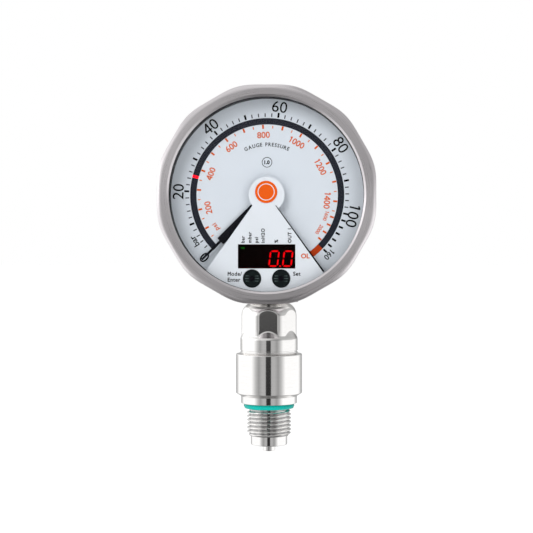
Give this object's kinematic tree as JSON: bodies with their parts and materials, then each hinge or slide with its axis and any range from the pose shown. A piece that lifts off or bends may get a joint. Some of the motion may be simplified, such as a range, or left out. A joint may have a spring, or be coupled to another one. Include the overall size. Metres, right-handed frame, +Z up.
{
  "type": "pressure switch",
  "caption": "Round stainless pressure switch with dial, motor-driven pointer, LED ring, small display, set-up buttons and a swivelling threaded process connection.",
  "frame": {"origin": "centre of the collar's sealing face, on the thread axis", "axes": "+Z up along the thread axis towards the head; the dial faces -Y; +X to the reader's right"},
  "size_m": [0.1, 0.068, 0.1717],
  "materials": {
    "stainless_turned": "fine turned, polished",
    "stainless_brushed": "satin",
    "seal_teal": "semi-matt",
    "rubber_black": "matt",
    "ceramic_white": "ground",
    "circuit_board": "solder mask",
    "plastic_black": "moulded",
    "contact_gold": "plated",
    "lead_insulation": "extruded",
    "plate_blank": "satin, blank",
    "dial_white": "printed film",
    "panel_white": "printed film",
    "print_orange": "ink",
    "window_dark": "smoked",
    "light_red": "lit",
    "light_green": "lit",
    "led_chip": "moulded",
    "display_glass": "tinted",
    "display_black": "smooth",
    "component_grey": "moulded",
    "pointer_black": "satin black",
    "button_dark": "moulded",
    "clear_glass": "polished"
  },
  "bodies": {
    "process_connection": {"process_fitting": "stainless_turned", "profile_seal_ring": "seal_teal", "pressure_restrictor": "stainless_turned", "cell_seal": "rubber_black", "ceramic_cell": "ceramic_white", "cell_clamp_ring": "stainless_turned", "sensor_board": "circuit_board", "hex_neck": "stainless_turned", "swivel_seal": "rubber_black", "swivel_stop_ring": "stainless_turned", "rotation_stop_pin": "stainless_turned"},
    "head": {"housing_shell": "stainless_brushed", "neck_socket": "stainless_turned", "swivel_stop_bracket": "stainless_brushed", "m12_connector_shell": "stainless_turned", "m12_gasket": "rubber_black", "m12_nut": "stainless_turned", "m12_insert": "plastic_black", "m12_contacts": "contact_gold", "connector_leads": "lead_insulation", "vent_plug": "plastic_black", "rear_plate": "plate_blank", "dial_plate": "dial_white", "dial_carrier": "plastic_black", "dial_surround": "plastic_black", "led_ring_window": "window_dark", "lit_ring_mark": "light_red", "overload_mark": "print_orange", "led_board": "circuit_board", "ring_leds": "led_chip", "display_panel": "panel_white", "display_carrier": "plastic_black", "display_window": "display_glass", "display_module": "display_black", "lit_segments": "light_red", "status_led": "light_green", "tact_switches": "plastic_black", "emblem_disc": "print_orange", "pointer_motor": "plastic_black", "board_standoffs": "stainless_turned", "board_screws": "stainless_turned", "main_board": "circuit_board", "board_components": "component_grey"},
    "pointer": {"pointer_blade": "pointer_black", "pointer_hub": "pointer_black", "pointer_shaft": "contact_gold"},
    "mode_button": {"mode_button": "button_dark"},
    "set_button": {"set_button": "button_dark"},
    "lens": {"lens_glass": "clear_glass", "lens_gasket": "rubber_black"},
    "bezel": {"bezel_ring": "stainless_brushed"}
  },
  "joints": [
    {"name": "head_swivel", "type": "hinge", "parent": "process_connection", "child": "head", "pos_m": [0, 0, 0.054], "axis": [0, 0, 1], "range_deg": [-175, 175]},
    {"name": "pointer_turn", "type": "hinge", "parent": "head", "child": "pointer", "pos_m": [0, -0.0263, 0.0987], "axis": [0, 1, 0], "range_deg": [0, 272]},
    {"name": "mode_press", "type": "slide", "parent": "head", "child": "mode_button", "axis": [0, 1, 0], "range_m": [0, 0.0008], "stiffness_N_per_m": 1500, "springref_m": -0.0005},
    {"name": "set_press", "type": "slide", "parent": "head", "child": "set_button", "axis": [0, 1, 0], "range_m": [0, 0.0008], "stiffness_N_per_m": 1500, "springref_m": -0.0005},
    {"name": "bezel_unscrew", "type": "hinge", "parent": "lens", "child": "bezel", "pos_m": [0, -0.03, 0.0987], "axis": [0, -1, 0], "range_deg": [0, 1080]},
    {"name": "lens_advance", "type": "slide", "parent": "head", "child": "lens", "axis": [0, -1, 0], "range_m": [0, 0.006]}
  ],
  "couplings": [
    {"joint": "lens_advance", "follows": "bezel_unscrew", "m_per_rad": 0.000318}
  ]
}
